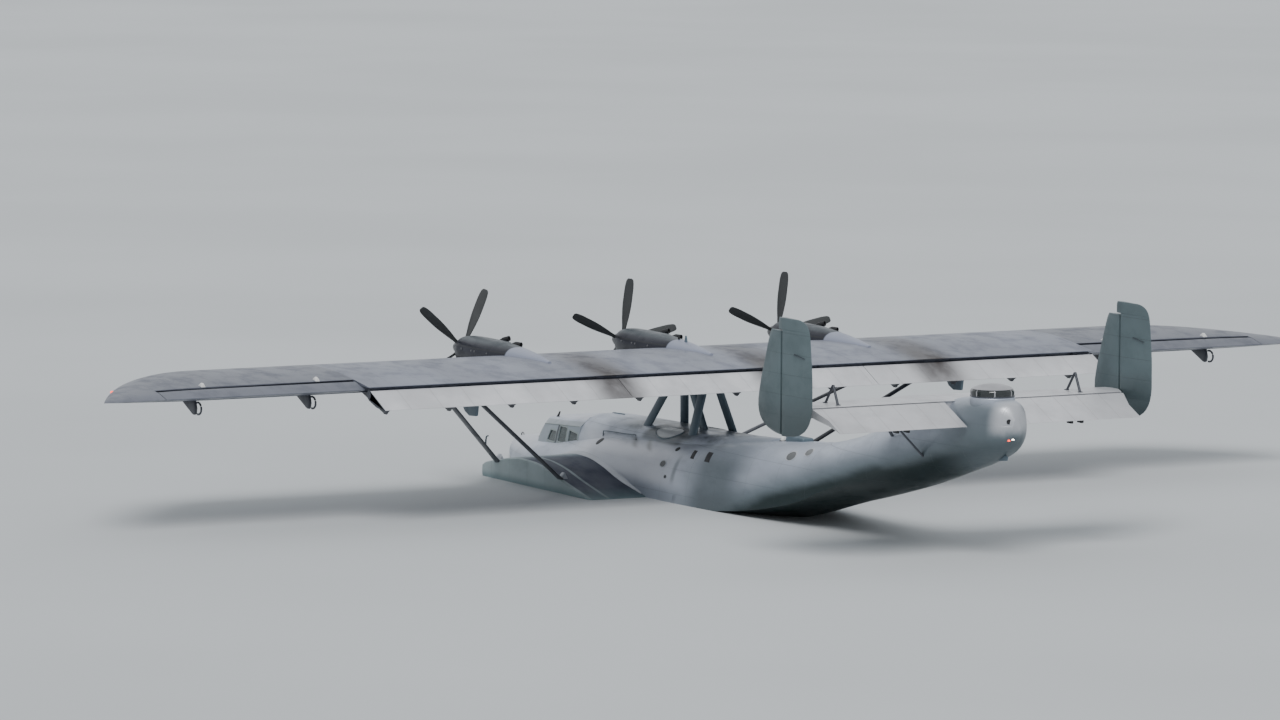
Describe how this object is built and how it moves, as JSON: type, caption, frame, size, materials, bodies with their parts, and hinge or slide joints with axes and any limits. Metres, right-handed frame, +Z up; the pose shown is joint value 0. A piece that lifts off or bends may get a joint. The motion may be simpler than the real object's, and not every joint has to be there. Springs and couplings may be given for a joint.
{
  "type": "flying boat",
  "caption": "Propeller flying boat afloat, with a wing on struts above a stepped hull, side sponsons and a twin-fin tail.",
  "frame": {"origin": "on the centre plane at the waterline, below the wing", "axes": "+X forward along the hull, +Y to port along the span, +Z up"},
  "size_m": [21.68, 30, 5.618],
  "materials": {
    "hull_paint": "satin silver-grey",
    "wing_paint": "satin pale grey",
    "tail_paint": "satin green-grey",
    "dark_paint": "satin dark grey",
    "strut_paint": "satin grey",
    "engine_metal": "plain metal",
    "seat_cloth": "dark woven cover"
  },
  "bodies": {
    "airframe": {"hull": "hull_paint", "canopy": "hull_paint", "seat_left": "seat_cloth", "seat_right": "seat_cloth", "instrument_panel": "dark_paint", "sponson_left": "hull_paint", "sponson_right": "hull_paint", "wing_centre": "wing_paint", "wing_left": "wing_paint", "wing_right": "wing_paint", "nacelle_left": "dark_paint", "engine_left": "engine_metal", "nacelle_middle": "dark_paint", "engine_middle": "engine_metal", "nacelle_right": "dark_paint", "engine_right": "engine_metal", "cabane_front_left": "strut_paint", "cabane_front_right": "strut_paint", "cabane_rear_left": "strut_paint", "cabane_rear_right": "strut_paint", "cabane_diagonal": "strut_paint", "sponson_strut_front_left": "dark_paint", "sponson_strut_front_right": "dark_paint", "sponson_strut_rear_left": "dark_paint", "sponson_strut_rear_right": "dark_paint", "tailplane": "tail_paint", "fin_left": "tail_paint", "fin_right": "tail_paint", "tail_strut_front_left": "strut_paint", "tail_strut_front_right": "strut_paint", "tail_strut_rear_left": "strut_paint", "tail_strut_rear_right": "strut_paint", "tail_dome": "hull_paint"},
    "flaps": {"flap_left": "wing_paint", "flap_centre": "wing_paint", "flap_right": "wing_paint"},
    "aileron_left": {"aileron_left": "wing_paint"},
    "aileron_right": {"aileron_right": "wing_paint"},
    "propeller_left": {"propeller_left": "dark_paint"},
    "propeller_middle": {"propeller_middle": "dark_paint"},
    "propeller_right": {"propeller_right": "dark_paint"},
    "elevators": {"elevator_left": "tail_paint", "elevator_right": "tail_paint"},
    "rudder_left": {"rudder_left": "tail_paint"},
    "rudder_right": {"rudder_right": "tail_paint"}
  },
  "joints": [
    {"name": "propeller_left_spin", "type": "hinge", "parent": "airframe", "child": "propeller_left", "pos_m": [3.42, 4, 3.06], "axis": [1, 0, 0], "continuous": true},
    {"name": "propeller_middle_spin", "type": "hinge", "parent": "airframe", "child": "propeller_middle", "pos_m": [3.42, 0, 3.06], "axis": [1, 0, 0], "continuous": true},
    {"name": "propeller_right_spin", "type": "hinge", "parent": "airframe", "child": "propeller_right", "pos_m": [3.42, -4, 3.06], "axis": [1, 0, 0], "continuous": true},
    {"name": "flaps_hinge", "type": "hinge", "parent": "airframe", "child": "flaps", "pos_m": [-1.8, 0, 2.36], "axis": [0, 1, 0], "range_deg": [-20, 18]},
    {"name": "aileron_left_hinge", "type": "hinge", "parent": "airframe", "child": "aileron_left", "pos_m": [-1.29, 11.3, 2.885], "axis": [0, 1, 0], "range_deg": [-20, 20]},
    {"name": "aileron_right_hinge", "type": "hinge", "parent": "airframe", "child": "aileron_right", "pos_m": [-1.29, -11.3, 2.885], "axis": [0, 1, 0], "range_deg": [-20, 20]},
    {"name": "elevators_hinge", "type": "hinge", "parent": "airframe", "child": "elevators", "pos_m": [-11.44, 0, 3.05], "axis": [0, 1, 0], "range_deg": [-5, 45]},
    {"name": "rudder_left_hinge", "type": "hinge", "parent": "airframe", "child": "rudder_left", "pos_m": [-10.95, 4.05, 3.7], "axis": [0, 0, 1], "range_deg": [-20, 20]},
    {"name": "rudder_right_hinge", "type": "hinge", "parent": "airframe", "child": "rudder_right", "pos_m": [-10.95, -4.05, 3.7], "axis": [0, 0, 1], "range_deg": [-20, 20]}
  ],
  "couplings": [
    {"joint": "aileron_right_hinge", "follows": "aileron_left_hinge", "ratio": -1},
    {"joint": "rudder_right_hinge", "follows": "rudder_left_hinge", "ratio": 1}
  ]
}
